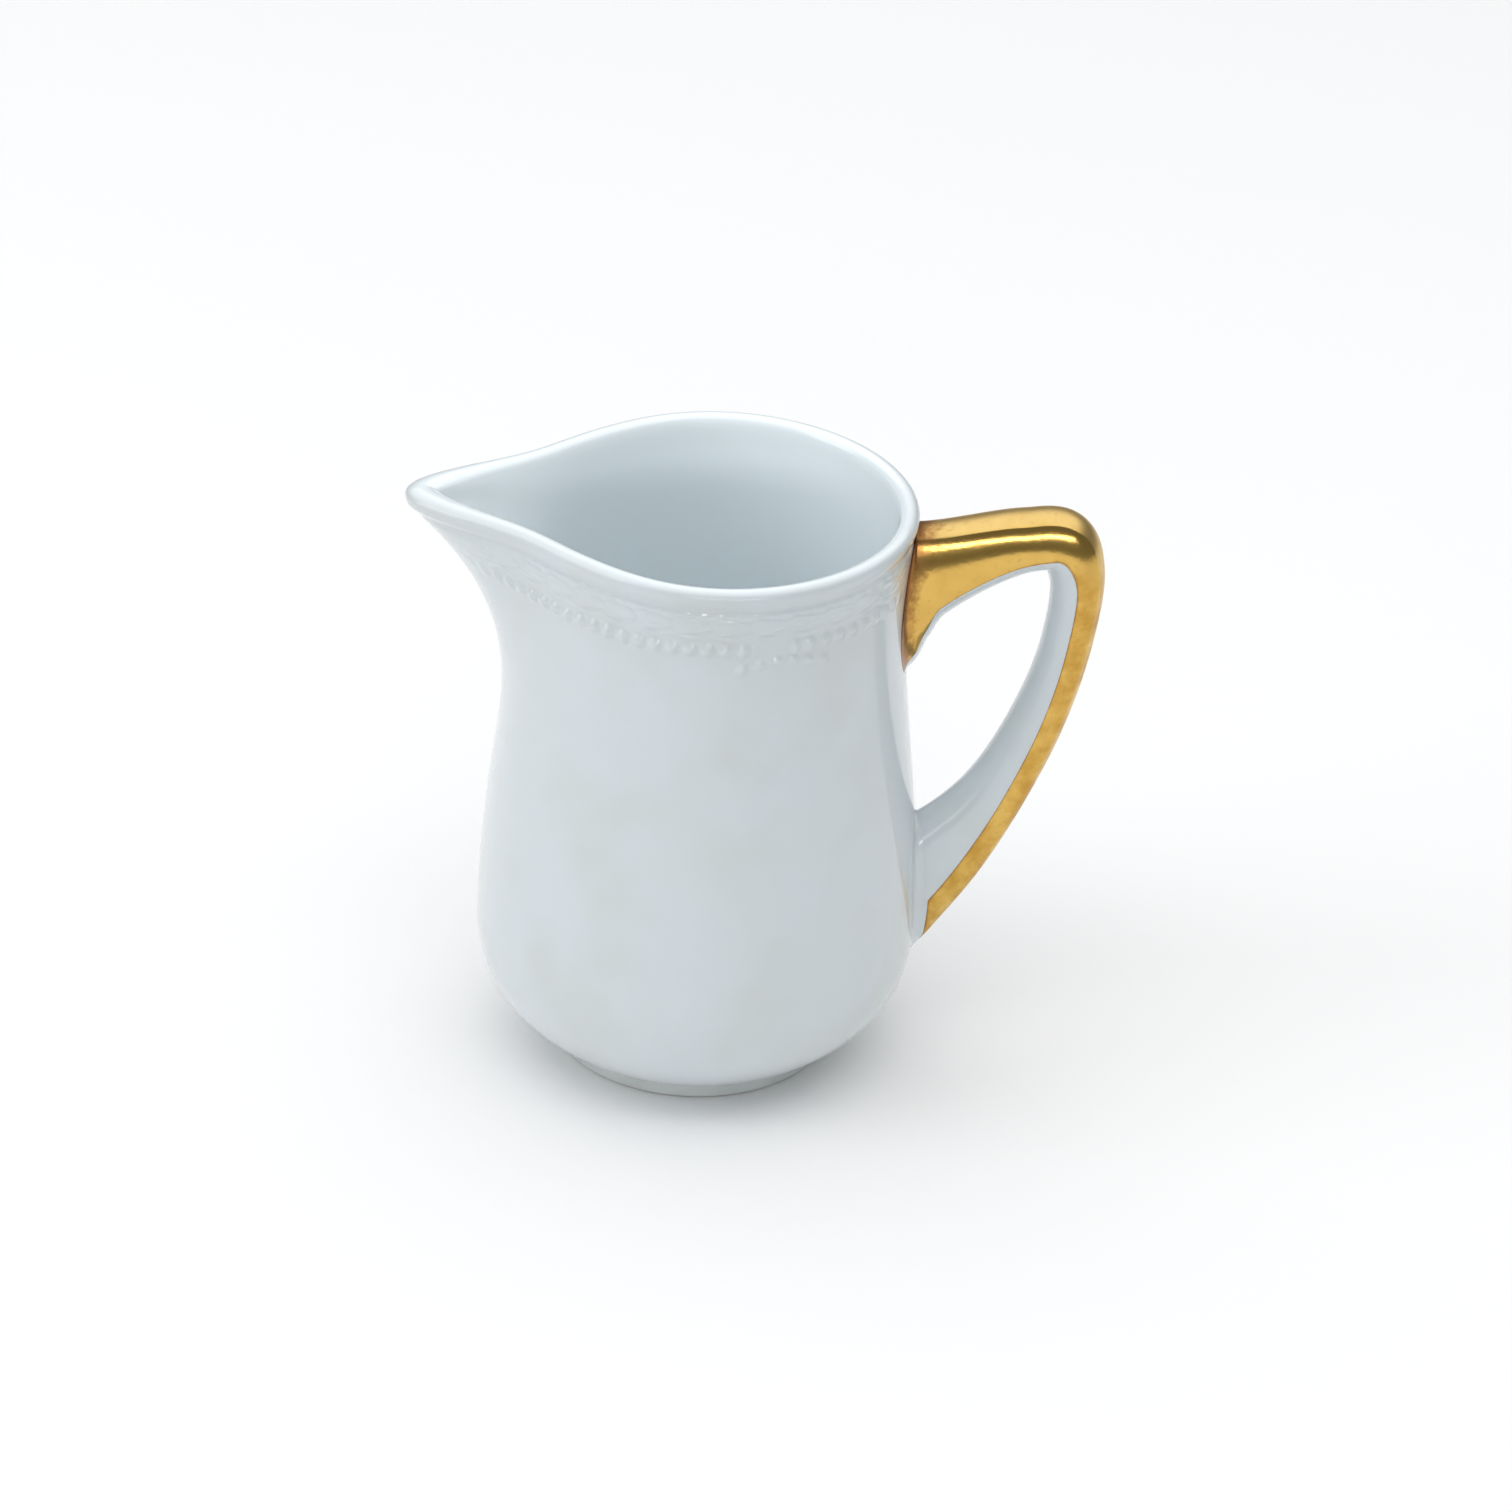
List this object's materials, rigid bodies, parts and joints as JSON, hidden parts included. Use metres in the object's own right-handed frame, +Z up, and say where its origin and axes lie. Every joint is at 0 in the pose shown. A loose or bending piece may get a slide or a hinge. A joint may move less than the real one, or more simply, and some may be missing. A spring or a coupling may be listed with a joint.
{
  "type": "cream jug",
  "caption": "Small round-bellied porcelain cream jug with a pouring spout, a rounded lip, a foot ring and a looped handle gilded along its back.",
  "frame": {"origin": "on the surface the jug stands on, under the middle of the whole jug from the spout's tip to the handle's back; the body's own axis is at x = -6.83 mm, y = 0", "axes": "+Z up along the body's axis, +X towards the handle, -X towards the spout"},
  "size_m": [0.1088, 0.07, 0.0964],
  "materials": {
    "glazed_porcelain": "clear gloss glaze over white porcelain",
    "foot_porcelain": "thin glaze with a bare ground bearing edge",
    "handle_porcelain": "clear gloss glaze over white porcelain",
    "fired_gold": "fired gold, satin on top, worn along the back"
  },
  "bodies": {
    "root": {"body_casting": "glazed_porcelain", "foot_ring": "foot_porcelain", "handle_casting": "handle_porcelain", "handle_gilding": "fired_gold", "upper_handle_slip": "handle_porcelain", "lower_handle_slip": "handle_porcelain"}
  },
  "joints": []
}
